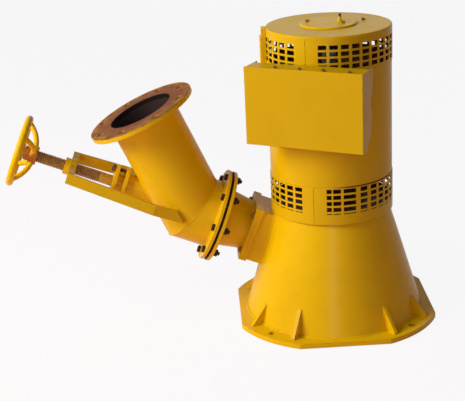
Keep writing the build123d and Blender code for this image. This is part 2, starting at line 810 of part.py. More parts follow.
# Runner: a hub, an outer band and curved buckets between them
with BuildPart() as runner:
    with BuildSketch(Plane.XY.offset(shaft_foot)):
        Circle(runner_hub_dia / 2)
        Circle(shaft_dia / 2, mode=Mode.SUBTRACT)
    extrude(amount=runner_height)
    with BuildSketch(Plane.XY.offset(shaft_foot)):
        Circle(runner_band_dia / 2)
        Circle(runner_band_dia / 2 - runner_band_thickness, mode=Mode.SUBTRACT)
    extrude(amount=runner_band_height)
    bucket_inner = runner_hub_dia / 2 - bucket_thickness
    bucket_outer = runner_band_dia / 2 - runner_band_thickness / 2
    for i in range(runner_bucket_count):
        turn = i * 360 / runner_bucket_count
        with BuildSketch(Plane.YZ.rotated((0, 0, turn)).offset(bucket_inner)):
            with BuildLine():
                bow = runner_height / 3
                ThreePointArc((0, shaft_foot + runner_height),
                              (bow, shaft_foot + runner_height / 2), (0, shaft_foot))
                Line((0, shaft_foot), (bucket_thickness, shaft_foot))
                ThreePointArc((bucket_thickness, shaft_foot),
                              (bow + bucket_thickness, shaft_foot + runner_height / 2),
                              (bucket_thickness, shaft_foot + runner_height))
                Line((bucket_thickness, shaft_foot + runner_height),
                     (0, shaft_foot + runner_height))
            make_face()
        extrude(amount=bucket_outer - bucket_inner)
    with BuildSketch(Plane.XY.offset(shaft_foot)):
        Circle(runner_band_dia)
        Circle(runner_band_dia / 2, mode=Mode.SUBTRACT)
    extrude(amount=runner_height, mode=Mode.SUBTRACT)
save(runner.part, "turbine_runner")
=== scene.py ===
import json
from math import cos, pi, radians, sin, sqrt, tan

import bmesh
import bpy
from mathutils import Matrix, Vector


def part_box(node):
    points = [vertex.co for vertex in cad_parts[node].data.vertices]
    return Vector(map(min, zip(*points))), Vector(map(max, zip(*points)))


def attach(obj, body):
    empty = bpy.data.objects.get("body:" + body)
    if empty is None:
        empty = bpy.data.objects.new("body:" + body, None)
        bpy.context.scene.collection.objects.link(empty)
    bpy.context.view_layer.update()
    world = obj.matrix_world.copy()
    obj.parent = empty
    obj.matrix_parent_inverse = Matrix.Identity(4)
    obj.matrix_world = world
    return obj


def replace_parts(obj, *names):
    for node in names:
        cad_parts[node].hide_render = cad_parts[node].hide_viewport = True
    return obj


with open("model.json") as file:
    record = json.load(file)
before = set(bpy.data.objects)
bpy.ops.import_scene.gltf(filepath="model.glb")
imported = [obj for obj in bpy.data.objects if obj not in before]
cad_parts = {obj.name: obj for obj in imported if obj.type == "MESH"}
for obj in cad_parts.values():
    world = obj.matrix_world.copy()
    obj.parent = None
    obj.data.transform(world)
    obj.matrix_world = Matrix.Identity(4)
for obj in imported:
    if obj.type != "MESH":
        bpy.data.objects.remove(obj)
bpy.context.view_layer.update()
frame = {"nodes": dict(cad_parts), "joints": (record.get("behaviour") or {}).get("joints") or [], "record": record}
nodes = frame["nodes"]
record = frame["record"]
scene = bpy.context.scene
scene.view_settings.view_transform = "Standard"
print("frame loaded,", len(nodes), "nodes")

# The lines that the machine is built on: the nozzle's, the inlet's, and the elbow where they meet
mounts = {m["name"]: m for m in record["mounts"]}
joints = {j["name"]: j for j in frame["joints"]}
nozzleOut = Vector(joints["needle_travel"]["axis"]).normalized()
hubPoint = Vector(joints["handwheel_turn"]["pos_m"])
hubStation = 1.020
inletOut = Vector(mounts["inlet_bolts"]["axis"]).normalized()
inletFace = Vector(mounts["inlet_bolts"]["pos_m"])
inletLength = 0.366
nozzleUp = (inletOut - nozzleOut * inletOut.dot(nozzleOut)).normalized()
nozzleSide = nozzleOut.cross(nozzleUp)
elbowPoint = inletFace - inletOut * inletLength
elbowStation = hubStation + (elbowPoint - hubPoint).dot(nozzleOut)


def onNozzle(station, up=0.0, side=0.0):
    return hubPoint + nozzleOut * (station - hubStation) + nozzleUp * up + nozzleSide * side


def placeAt(point, out, up):
    # a matrix that carries a mesh made at the origin to its place: its z points out, its x up
    side = out.cross(up).normalized()
    up = side.cross(out)
    turn = Matrix((up, side, out)).transposed()
    return Matrix.Translation(point) @ turn.to_4x4()


# Small helpers for the node trees
def addNode(tree, kind, **settings):
    node = tree.nodes.new(kind)
    for name, value in settings.items():
        setattr(node, name, value)
    return node


def feed(tree, socket, value):
    # a value is either another node's output or a plain setting
    if isinstance(value, bpy.types.NodeSocket):
        tree.links.new(value, socket)
    else:
        socket.default_value = value


def wire(tree, kind, inputs, output=0, **settings):
    # a new node with its inputs fed, which hands back one of its outputs
    node = addNode(tree, kind, **settings)
    for label, value in inputs.items():
        feed(tree, node.inputs[label], value)
    return node.outputs[output]


def sums(tree, operation, *values):
    return wire(tree, "ShaderNodeMath", dict(enumerate(values)), operation=operation)


def vectors(tree, operation, *values):
    output = "Value" if operation in ("DOT_PRODUCT", "LENGTH") else "Vector"
    return wire(tree, "ShaderNodeVectorMath", dict(enumerate(values)), output,
                operation=operation)


def mapRange(tree, value, low, high, toLow=0.0, toHigh=1.0):
    return wire(tree, "ShaderNodeMapRange", {
        "Value": value, "From Min": low, "From Max": high, "To Min": toLow, "To Max": toHigh},
        "Result")


def mixColor(tree, factor, first, second):
    return wire(tree, "ShaderNodeMix", {"Factor": factor, 6: first, 7: second}, 2,
                data_type="RGBA")


def ownCoords(tree):
    # every piece keeps its place in its mesh, so these are places on the machine at rest
    return addNode(tree, "ShaderNodeTexCoord").outputs["Object"]


def noise(tree, scale, detail=3.0, roughness=0.5):
    return wire(tree, "ShaderNodeTexNoise", {
        "Vector": ownCoords(tree), "Scale": scale, "Detail": detail, "Roughness": roughness},
        "Fac")


def newMaterial(name, **settings):
    material = bpy.data.materials.new(name)
    material.use_nodes = True
    tree = material.node_tree
    shader = tree.nodes["Principled BSDF"]
    for label, value in settings.items():
        shader.inputs[label.replace("_", " ")].default_value = value
    return material, tree, shader


def roundedNormal(tree, radius):
    return wire(tree, "ShaderNodeBevel", {"Radius": radius}, "Normal", samples=6)


def bumped(tree, shader, height, strength, distance, normal=None):
    inputs = {"Strength": strength, "Distance": distance, "Height": height}
    if normal is not None:
        inputs["Normal"] = normal
    raised = wire(tree, "ShaderNodeBump", inputs, "Normal")
    feed(tree, shader.inputs["Normal"], raised)
    return raised


def edgeMask(tree, rounded):
    # 1 on a sharp edge, 0 on the flats
    flat = addNode(tree, "ShaderNodeNewGeometry").outputs["True Normal"]
    return mapRange(tree, vectors(tree, "DOT_PRODUCT", rounded, flat), 0.995, 0.90)


def offsetFrom(tree, point):
    return vectors(tree, "SUBTRACT", ownCoords(tree), tuple(point))


def axisDistance(tree, point, direction):
    return vectors(tree, "LENGTH", vectors(
        tree, "CROSS_PRODUCT", offsetFrom(tree, point), tuple(direction)))


def planeDepth(tree, point, direction):
    return vectors(tree, "DOT_PRODUCT", offsetFrom(tree, point), tuple(direction))


# Paint: sprayed chrome-yellow enamel on welded steel
paint = {
    "yellow": (0.84, 0.530, 0.003, 1),
    "warm": (0.81, 0.500, 0.003, 1),
    "primer": (0.16, 0.050, 0.020, 1),
    # grimeAndShade colours the thinner coat's clouds, dirt, and painted shade in hollows and at the seams
    "grimeAndShade": (0.17, 0.075, 0.012, 1),
    "roughness": (0.26, 0.40),
    "bareRoughness": 0.78,
    "coat": 0.18,
    "coatRoughness": 0.26,
    "specular": 0.02,
    "driftScale": 4.5,
    "cloudScale": 17.0,
    "cloudShare": 0.07,
    "chipScale": 95.0,
    # how far ambient occlusion looks, in what patches, and how much it darkens: dirt and painted shade in hollows
    "dirtAndShadeReach": 0.014,
    "dirtAndShadeScale": 38.0,
    "dirtAndShadeShare": 0.5,
    "mottleScale": 26.0,
    "edgeRadius": 0.0016,
    "peelScale": 420.0,
    "peelDistance": 0.00022,
    "waveScale": 7.0,
    "waveDistance": 0.0020,
}


def paintColor(tree, coatAndShadeTone=1.0):
    # sprayed unevenly: broad warm drifts, and a faint thinner coat in small clouds
    drift = mapRange(tree, noise(tree, paint["driftScale"], 3.0), 0.35, 0.68)
    # coatAndShadeTone darkens both colours: partly a separate coat, partly painted shade
    yellow, warm = [tuple(c * coatAndShadeTone for c in paint[k][:3]) + (1,) for k in ("yellow", "warm")]
    color = mixColor(tree, drift, yellow, warm)
    clouds = mapRange(tree, noise(tree, paint["cloudScale"], 4.0, 0.6), 0.50, 0.75, 0.0,
                      paint["cloudShare"])
    return mixColor(tree, clouds, color, paint["grimeAndShade"])


def paintedSurface(name, bare=None, bareColor=None, seams=(), coatAndShadeTone=1.0):
    # bare(tree) gives 1 where the paint stops; seams are joints where a dark line is painted, dirt in the joint
    # and painted shadow under the lip
    material, tree, shader = newMaterial(name, Coat_Weight=paint["coat"],
                                         Coat_Roughness=paint["coatRoughness"],
                                         Specular_IOR_Level=paint["specular"])
    color = paintColor(tree, coatAndShadeTone)
    rounded = roundedNormal(tree, paint["edgeRadius"])
    chips = mapRange(tree, noise(tree, paint["chipScale"], 4.0, 0.62), 0.60, 0.66)
    worn = sums(tree, "MULTIPLY", edgeMask(tree, rounded), chips)
    color = mixColor(tree, worn, color, paint["primer"])
    # darker in hollows and corners that ambient occlusion finds, in noisy patches: dirt, and painted shade
    openness = wire(tree, "ShaderNodeAmbientOcclusion", {"Distance": paint["dirtAndShadeReach"]}, "AO",
                    samples=6)
    dirtAndShade = mapRange(tree, openness, 0.50, 0.10)
    dirtAndShade = sums(tree, "MULTIPLY", dirtAndShade, mapRange(
        tree, noise(tree, paint["dirtAndShadeScale"], 4.0), 0.30, 0.72, 0.0, paint["dirtAndShadeShare"]))
    # each seam's line, painted shadow under a lip with dirt in the joint, shows only past its x start, on the side
    # away from the key light
    for seam in seams:
        gap = sums(tree, "ABSOLUTE", planeDepth(tree, (0, 0, seam["height"]), (0, 0, 1)))
        line = mapRange(tree, gap, seam["reach"], seam["reach"] * 0.5, 0.0, seam["dirtAndShade"])
        shaded = mapRange(tree, planeDepth(tree, (seam["from"], 0, 0), (1, 0, 0)), 0.0, 0.05)
        dirtAndShade = sums(tree, "MAXIMUM", dirtAndShade, sums(tree, "MULTIPLY", line, shaded))
    color = mixColor(tree, dirtAndShade, color, paint["grimeAndShade"])
    mottle = mapRange(tree, noise(tree, paint["mottleScale"], 3.0), 0.3, 0.7, *paint["roughness"])
    if bare:
        shown = bare(tree)
        color = mixColor(tree, shown, color, bareColor or paint["primer"])
        mottle = mapRange(tree, shown, 0.0, 1.0, mottle, paint["bareRoughness"])
    feed(tree, shader.inputs["Base Color"], color)
    feed(tree, shader.inputs["Roughness"], mottle)
    wave = bumped(tree, shader, noise(tree, paint["waveScale"], 1.0), 0.35,
                  paint["waveDistance"], rounded)
    bumped(tree, shader, noise(tree, paint["peelScale"], 2.0), 0.25, paint["peelDistance"], wave)
    return material


def facesShaft(tree):
    # 1 on walls that face the shaft, and under the machine
    info = addNode(tree, "ShaderNodeTexCoord")
    flat = vectors(tree, "MULTIPLY", info.outputs["Object"], (1, 1, 0))
    outward = vectors(tree, "NORMALIZE", flat)
    lean = vectors(tree, "DOT_PRODUCT", info.outputs["Normal"], outward)
    under = vectors(tree, "DOT_PRODUCT", info.outputs["Normal"], (0, 0, -1))
    return sums(tree, "MAXIMUM", mapRange(tree, lean, -0.15, -0.5),
                mapRange(tree, under, 0.8, 0.95))


def underVents(tree):
    # 1 on the part of the lid that lies inside the lower vent ring; the primer there is dark, painted shade behind
    # the vents
    ringInside = 0.176
    return mapRange(tree, axisDistance(tree, (0, 0, 0), (0, 0, 1)), ringInside, ringInside - 0.001)


boreEdge = {"radius": 0.1045, "blend": 0.001}
joint = {"station": 0.397, "gap": (0.0046, 0.0040)}


def insidePipes(tree):
    # 1 inside the bores: below the mitre plane it is the nozzle's bore, above it the inlet's
    above = mapRange(tree, planeDepth(tree, elbowPoint, (nozzleOut + inletOut).normalized()),
                     -0.0003, 0.0003)
    reach = mapRange(tree, above, 0.0, 1.0, axisDistance(tree, elbowPoint, nozzleOut),
                     axisDistance(tree, elbowPoint, inletOut))
    return mapRange(tree, reach, boreEdge["radius"], boreEdge["radius"] - boreEdge["blend"])


def inJoint(tree):
    # the narrow gap round the joint of the flange pair, and its bores, painted dark as shade
    gap = sums(tree, "ABSOLUTE", planeDepth(tree, onNozzle(joint["station"]), nozzleOut))
    bore = mapRange(tree, axisDistance(tree, hubPoint, nozzleOut), boreEdge["radius"],
                    boreEdge["radius"] - boreEdge["blend"])
    return sums(tree, "MAXIMUM", mapRange(tree, gap, *joint["gap"]), bore)


def hubBrownPatches(tree):
    # 1 in patches on the hub of the handwheel, which turns brown there
    hubEdge = 0.0312
    near = mapRange(tree, axisDistance(tree, hubPoint, nozzleOut), hubEdge, hubEdge - 0.001)
    return sums(tree, "MULTIPLY", near, mapRange(tree, noise(tree, 32.0, 4.0), 0.38, 0.50))


def aboveStem(tree):
    # the greasy ball of the nipple
    stemTop = 0.957
    return mapRange(tree, planeDepth(tree, (0, 0, stemTop), (0, 0, 1)), -0.001, 0.001)


# Rust on the bare machined face of the inlet flange, yellow overspray towards its rim
rust = {
    "deep": (0.100, 0.031, 0.020, 1),
    "red": (0.225, 0.072, 0.038, 1),
    "orange": (0.360, 0.140, 0.045, 1),
    "spray": (0.46, 0.27, 0.035, 1),
    "hole": (0.50, 0.24, 0.08, 1),
    "bore": (0.016, 0.008, 0.007, 1),
    "broadScale": 22.0,
    "fineScale": 160.0,
    "orangeShare": 0.40,
    "pitScale": 240.0,
}


def rustColor(tree):
    broad = mapRange(tree, noise(tree, rust["broadScale"], 5.0, 0.62), 0.32, 0.68)
    fine = mapRange(tree, noise(tree, rust["fineScale"], 4.0, 0.7), 0.35, 0.70)
    color = mixColor(tree, broad, rust["deep"], rust["red"])
    return mixColor(tree, sums(tree, "MULTIPLY", fine, rust["orangeShare"]), color,
                    rust["orange"])


flangeFinish = {"rimRadius": 0.1742, "rimBlend": 0.0006, "boreRadius": 0.1035,
                "boreBlend": 0.001, "darkRadius": 0.1060, "thickness": 0.015,
                "frontEdge": (-0.0008, -0.0022), "backEdge": (0.0008, 0.0004),
                "ragged": 0.0012, "raggedScale": 70.0, "sprayStart": 0.125,
                "spray": (0.05, 0.75), "sprayScale": 30.0, "roughness": (0.70, 0.34)}


def flangeSurface(name):
    # bare rusty face, painted back and rim with a ragged line between; the bolt holes' walls are overspray
    # lightened as painted light, the bore painted shade
    material, tree, shader = newMaterial(name, Specular_IOR_Level=0.10)
    rimRadius, boreRadius = flangeFinish["rimRadius"], flangeFinish["boreRadius"]
    depth = planeDepth(tree, inletFace, inletOut)
    reach = axisDistance(tree, elbowPoint, inletOut)
    ragged = mapRange(tree, noise(tree, flangeFinish["raggedScale"], 3.0), 0.3, 0.7,
                      -flangeFinish["ragged"], flangeFinish["ragged"])
    rim = mapRange(tree, sums(tree, "ADD", reach, sums(tree, "MULTIPLY", ragged, 0.2)),
                   rimRadius - flangeFinish["rimBlend"], rimRadius)
    rim = sums(tree, "MULTIPLY", rim, mapRange(tree, sums(tree, "ADD", depth, ragged),
                                               *flangeFinish["frontEdge"]))
    back = mapRange(tree, depth, *[edge - flangeFinish["thickness"]
                                   for edge in flangeFinish["backEdge"]])
    back = sums(tree, "MULTIPLY", back, mapRange(tree, reach, boreRadius,
                                                 boreRadius + flangeFinish["boreBlend"]))
    painted = sums(tree, "MAXIMUM", rim, back)
    mist = mapRange(tree, reach, flangeFinish["sprayStart"], rimRadius, *flangeFinish["spray"])
    mist = sums(tree, "MULTIPLY", mist, mapRange(
        tree, noise(tree, flangeFinish["sprayScale"], 5.0, 0.65), 0.42, 0.62))
    bare = mixColor(tree, mist, rustColor(tree), rust["spray"])
    # bolt-hole walls in a light overspray orange: partly overspray, partly painted light showing through the holes
    across = vectors(tree, "DOT_PRODUCT", addNode(tree, "ShaderNodeNewGeometry").outputs[
        "True Normal"], tuple(inletOut))
    wall = mapRange(tree, sums(tree, "ABSOLUTE", across), 0.5, 0.3)
    bare = mixColor(tree, wall, bare, rust["hole"])
    # the face turns near-black at the bore: painted shade inside the pipe
    dark = mapRange(tree, reach, flangeFinish["darkRadius"], boreRadius + 0.0005)
    bare = mixColor(tree, dark, bare, rust["bore"])
    feed(tree, shader.inputs["Base Color"], mixColor(tree, painted, bare, paintColor(tree)))
    feed(tree, shader.inputs["Roughness"],
         mapRange(tree, painted, 0.0, 1.0, *flangeFinish["roughness"]))
    bumped(tree, shader, noise(tree, rust["pitScale"], 5.0, 0.7), 0.35, 0.0004,
           roundedNormal(tree, 0.0012))
    return material


def metalSurface(name, dark, light, roughness, metallic, grain=90.0, shine=0.3):
    material, tree, shader = newMaterial(name, Metallic=metallic, Specular_IOR_Level=shine)
    patches = mapRange(tree, noise(tree, grain, 4.0, 0.6), 0.32, 0.70)
    feed(tree, shader.inputs["Base Color"], mixColor(tree, patches, dark, light))
    feed(tree, shader.inputs["Roughness"],
         mapRange(tree, patches, 0.0, 1.0, roughness + 0.12, roughness - 0.08))
    bumped(tree, shader, noise(tree, grain * 6, 3.0, 0.6), 0.25, 0.0003,
           roundedNormal(tree, 0.0006))
    return material


coreSheets = {"pitch": 0.002, "groove": (0.035, 0.014, 0.010, 1),
              "crest": (0.095, 0.038, 0.024, 1)}


def laminatedSurface(name):
    # stacked core sheets show as fine rings under varnish
    material, tree, shader = newMaterial(name, Roughness=0.6, Specular_IOR_Level=0.1)
    height = wire(tree, "ShaderNodeSeparateXYZ", {0: ownCoords(tree)}, "Z")
    sheets = sums(tree, "SINE", sums(tree, "MULTIPLY", height, 2 * pi / coreSheets["pitch"]))
    feed(tree, shader.inputs["Base Color"], mixColor(
        tree, mapRange(tree, sheets, -1.0, 1.0), coreSheets["groove"], coreSheets["crest"]))
    bumped(tree, shader, sheets, 0.4, 0.0003)
    return material


# dark lines at the joints of the cone, rings and shell: painted shadow under the lips, with dirt in the joints
shellSeams = (
    {"height": 0.354, "reach": 0.0012, "dirtAndShade": 0.25, "from": -0.4},
    {"height": 0.474, "reach": 0.0030, "dirtAndShade": 0.95, "from": -0.02},
    {"height": 0.830, "reach": 0.0012, "dirtAndShade": 0.30, "from": -0.4},
)
# near-black inside the bores of the pipes: bare metal, darkened as painted shade
boreDark = (0.055, 0.038, 0.042, 1)
# jointDark paints the shade in the flange joint's gap and bores
jointDark = (0.090, 0.030, 0.008, 1)
hubBrown = (0.38, 0.12, 0.022, 1)
finishes = {
    "paint": paintedSurface("yellowEnamel"),
    "casing": paintedSurface("yellowEnamelCasing", facesShaft, seams=shellSeams[:1]),
    "lid": paintedSurface("yellowEnamelLid", underVents),
    # generator, box and yoke get darker copies of the paint: partly their own coat, partly painted shade
    "generator": paintedSurface("yellowEnamelGenerator", facesShaft, seams=shellSeams, coatAndShadeTone=0.91),
    "box": paintedSurface("yellowEnamelBox", coatAndShadeTone=0.78),
    "yoke": paintedSurface("yellowEnamelYoke", coatAndShadeTone=0.80),
    "pipes": paintedSurface("yellowEnamelPipes", insidePipes, boreDark),
    "flangePair": paintedSurface("yellowEnamelFlanges", inJoint, jointDark),
    "nipple": paintedSurface("yellowEnamelNipple", aboveStem),
    "wheel": paintedSurface("yellowEnamelWheel", hubBrownPatches, hubBrown),
    "inletFlange": flangeSurface("rustyFlangeFace"),
    "bolt": metalSurface("brownBolt", (0.022, 0.008, 0.005, 1), (0.075, 0.024, 0.012, 1), 0.50,
                         0.0, 120.0, shine=0.15),
    "screw": metalSurface("oversprayedScrew", (0.13, 0.055, 0.010, 1), (0.42, 0.22, 0.015, 1),
                          0.45, 0.0, 160.0),
    # the handwheel nut is orange-brown all over
    "nut": metalSurface("orangeBrownNut", (0.30, 0.085, 0.020, 1), (0.46, 0.16, 0.025, 1), 0.50, 0.0,
                        120.0, shine=0.1),
    "rod": metalSurface("oversprayedRod", (0.40, 0.20, 0.015, 1), (0.60, 0.35, 0.03, 1), 0.36,
                        0.15, 60.0),
    "thread": metalSurface("greasyThread", (0.30, 0.120, 0.045, 1), (0.40, 0.25, 0.05, 1),
                           0.44, 0.1, 45.0),
    # studs and gland nuts are dark brown steel, darkened as painted shade between the gland and its flange
    "stud": metalSurface("darkBrownStud", (0.060, 0.018, 0.012, 1), (0.21, 0.085, 0.015, 1), 0.45,
                         0.1, 90.0),
    "steel": metalSurface("turnedSteel", (0.34, 0.32, 0.30, 1), (0.55, 0.53, 0.50, 1), 0.30, 0.9),
    "casting": metalSurface("roughCasting", (0.045, 0.038, 0.034, 1), (0.11, 0.095, 0.085, 1),
                            0.62, 0.2, 70.0),
    "housing": metalSurface("primedCasting", (0.045, 0.015, 0.010, 1), (0.10, 0.034, 0.020, 1),
                            0.62, 0.0, 70.0, shine=0.1),
    "laminations": laminatedSurface("coreSheets"),
    "copper": metalSurface("varnishedCopper", (0.060, 0.018, 0.010, 1), (0.20, 0.065, 0.025, 1),
                           0.40, 0.15, 80.0),
    "rubber": metalSurface("sheetRubber", (0.034, 0.013, 0.006, 1), (0.070, 0.028, 0.012, 1),
                           0.72, 0.0, 110.0),
}

wears = {
    "casing": ("base_plate", "casing_cone"),
    "lid": ("casing_lid",),
    "generator": ("lower_vent_ring", "upper_vent_ring", "generator_shell", "top_cover"),
    "box": ("terminal_box", "terminal_box_lid"),
    "yoke": ("near_yoke_arm", "far_yoke_arm", "yoke_head"),
    "pipes": ("nozzle_body", "inlet_pipe"),
    "inletFlange": ("inlet_flange",),
    "rubber": ("joint_gasket",),
    "nipple": ("grease_nipple",),
    "stud": ("gland_studs",),
    "wheel": ("handwheel",),
    "nut": ("handwheel_nut",),
    "rod": ("needle_rod",),
    "thread": ("spindle",),
    "steel": ("main_shaft", "needle_spear"),
    "housing": ("upper_bearing_housing", "lower_bearing_housing"),
    "casting": ("nozzle_tip", "turbine_runner"),
    "laminations": ("rotor_core", "stator_core"),
    "copper": ("lower_windings", "upper_windings"),
}
finishOf = {name: finish for finish, names in wears.items() for name in names}
for name, node in nodes.items():
    node.data.materials.clear()
    node.data.materials.append(finishes[finishOf.get(name, "paint")])
print("finishes on", len(nodes), "nodes")


# Pieces that the scene adds: each is a mesh with its place in it, and rides on a body
def keepPiece(name, mesh, finish, body, place=None):
    if place is not None:
        mesh.transform(place)
    if not mesh.materials:
        mesh.materials.append(finishes[finish])
    piece = bpy.data.objects.new(name, mesh)
    scene.collection.objects.link(piece)
    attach(piece, body)
    return piece


def runTree(tree, name, settings, source=None):
    # evaluates a tree on a bare host and hands back the plain mesh
    host = bpy.data.objects.new(name + "Host", source or bpy.data.meshes.new(name + "Host"))
    scene.collection.objects.link(host)
    modifier = host.modifiers.new(name, "NODES")
    modifier.node_group = tree
    for item in tree.interface.items_tree:
        if item.in_out == "INPUT" and item.name in settings:
            modifier[item.identifier] = settings[item.name]
    host.update_tag()
    graph = bpy.context.evaluated_depsgraph_get()
    mesh = bpy.data.meshes.new_from_object(host.evaluated_get(graph))
    host.modifiers.remove(modifier)
    bpy.data.objects.remove(host)
    mesh.name = name
    return mesh


def newTree(name, inputs):
    tree = bpy.data.node_groups.new(name, "GeometryNodeTree")
    for label, kind, value in inputs:
        socket = tree.interface.new_socket(label, in_out="INPUT", socket_type="NodeSocket" + kind)
        if value is not None:
            socket.default_value = value
    tree.interface.new_socket("Geometry", in_out="OUTPUT", socket_type="NodeSocketGeometry")
    given = addNode(tree, "NodeGroupInput").outputs
    result = addNode(tree, "NodeGroupOutput").inputs[0]
    return tree, given, result


def finishTree(tree, given, result, geometry, smooth=False):
    geometry = wire(tree, "GeometryNodeRealizeInstances", {"Geometry": geometry})
    if smooth:
        geometry = wire(tree, "GeometryNodeSetShadeSmooth", {
            "Geometry": geometry, "Shade Smooth": True})
    feed(tree, result, wire(tree, "GeometryNodeSetMaterial", {
        "Geometry": geometry, "Material": given["Finish"]}))


def scatterParts(tree, given, points, angle=0.0):
    # one part on each point, each turned a little its own way
    part = wire(tree, "GeometryNodeObjectInfo", {"Object": given["Part"]}, "Geometry")
    spin = wire(tree, "FunctionNodeRandomValue", {2: 0.0, 3: given["Twist"],
                                                  "Seed": given["Seed"]}, 1, data_type="FLOAT")
    turn = wire(tree, "ShaderNodeCombineXYZ", {"Z": sums(tree, "ADD", spin, angle)})
    return wire(tree, "GeometryNodeInstanceOnPoints", {
        "Points": points, "Instance": part, "Rotation": turn})


commonInputs = [("Part", "Object", None), ("Twist", "Float", 1.0), ("Seed", "Int", 3),
                ("Finish", "Material", None)]


def polar(tree, radius, angle, z=0.0):
    # a position from its distance and angle round the z axis
    x, y = [sums(tree, "MULTIPLY", radius, sums(tree, way, angle)) for way in ("COSINE", "SINE")]
    return wire(tree, "ShaderNodeCombineXYZ", {"X": x, "Y": y, "Z": z})


def circlePoints(tree, given):
    # evenly spaced points on a circle, with the angle of each
    index = addNode(tree, "GeometryNodeInputIndex").outputs["Index"]
    step = sums(tree, "DIVIDE", 2 * pi, given["Count"])
    angle = sums(tree, "ADD", sums(tree, "MULTIPLY", index, step), given["Start"])
    points = wire(tree, "GeometryNodePoints", {
        "Count": given["Count"], "Position": polar(tree, given["Radius"], angle)})
    return points, angle


def circleTree():
    tree, given, result = newTree("partsOnCircle", commonInputs + [
        ("Count", "Int", 8), ("Radius", "Float", 0.1), ("Start", "Float", 0.0),
        ("Follow", "Float", 0.0)])
    points, angle = circlePoints(tree, given)
    follow = sums(tree, "MULTIPLY", angle, given["Follow"])
    finishTree(tree, given, result, scatterParts(tree, given, points, follow))
    return tree


def drilledTree():
    # a circle of holes drilled through the host
    tree, given, result = newTree("drilledCircle", [
        ("Geometry", "Geometry", None), ("Count", "Int", 8), ("Radius", "Float", 0.1),
        ("Start", "Float", 0.0), ("Hole", "Float", 0.009), ("Depth", "Float", 0.1),
        ("Finish", "Material", None)])
    drill = wire(tree, "GeometryNodeMeshCylinder", {
        "Vertices": 24, "Depth": given["Depth"], "Radius": given["Hole"]}, "Mesh")
    placed = wire(tree, "GeometryNodeInstanceOnPoints", {
        "Points": circlePoints(tree, given)[0], "Instance": drill})
    drills = wire(tree, "GeometryNodeRealizeInstances", {"Geometry": placed})
    cut = wire(tree, "GeometryNodeMeshBoolean", {
        "Mesh 1": given["Geometry"], "Mesh 2": drills}, "Mesh", operation="DIFFERENCE")
    finishTree(tree, given, result, cut)
    return tree


def gridTree():
    tree, given, result = newTree("partsOnGrid", commonInputs + [
        ("Columns", "Int", 2), ("Rows", "Int", 2), ("Span", "Float", 0.1), ("Rise", "Float", 0.1)])
    index = addNode(tree, "GeometryNodeInputIndex").outputs["Index"]
    row = sums(tree, "FLOOR", sums(tree, "DIVIDE", index, given["Columns"]))
    column = sums(tree, "SUBTRACT", index, sums(tree, "MULTIPLY", row, given["Columns"]))

    def spread(number, many, size):
        last = sums(tree, "MAXIMUM", sums(tree, "SUBTRACT", many, 1.0), 1.0)
        share = sums(tree, "DIVIDE", number, last)
        centred = sums(tree, "SUBTRACT", share, sums(tree, "MINIMUM", 0.5, sums(
            tree, "SUBTRACT", many, 1.0)))
        return sums(tree, "MULTIPLY", centred, size)

    spot = wire(tree, "ShaderNodeCombineXYZ", {
        "X": spread(row, given["Rows"], given["Rise"]),
        "Y": spread(column, given["Columns"], given["Span"])})
    points = wire(tree, "GeometryNodePoints", {
        "Count": sums(tree, "MULTIPLY", given["Columns"], given["Rows"]), "Position": spot})
    finishTree(tree, given, result, scatterParts(tree, given, points))
    return tree


def beadTree():
    # a run of weld metal along the host's edges, with its small ripples
    tree, given, result = newTree("weldBead", [
        ("Geometry", "Geometry", None), ("Width", "Float", 0.003), ("Ripple", "Float", 0.004),
        ("Swell", "Float", 0.14), ("Wander", "Float", 0.0005), ("Finish", "Material", None)])
    curve = wire(tree, "GeometryNodeMeshToCurve", {"Mesh": given["Geometry"]}, "Curve")
    even = wire(tree, "GeometryNodeResampleCurve", {
        "Curve": curve, "Length": sums(tree, "DIVIDE", given["Ripple"], 2.0)}, "Curve",
        mode="LENGTH")
    along = addNode(tree, "GeometryNodeSplineParameter").outputs["Index"]
    beat = sums(tree, "ABSOLUTE", sums(tree, "SINE", sums(tree, "MULTIPLY", along, pi / 3)))
    swell = sums(tree, "ADD", 1.0, sums(tree, "MULTIPLY", beat, given["Swell"]))
    drift = wire(tree, "ShaderNodeTexNoise", {"Scale": 55.0}, "Color")
    centred = vectors(tree, "SUBTRACT", drift, (0.5, 0.5, 0.5))
    shift = wire(tree, "ShaderNodeVectorMath", {0: centred, "Scale": given["Wander"]}, "Vector",
                 operation="SCALE")
    moved = wire(tree, "GeometryNodeSetPosition", {"Geometry": even, "Offset": shift})
    section = wire(tree, "GeometryNodeCurvePrimitiveCircle", {
        "Resolution": 8, "Radius": given["Width"]}, "Curve")
    bead = wire(tree, "GeometryNodeCurveToMesh", {
        "Curve": moved, "Profile Curve": section, "Scale": swell, "Fill Caps": True}, "Mesh")
    finishTree(tree, given, result, bead, smooth=True)
    return tree


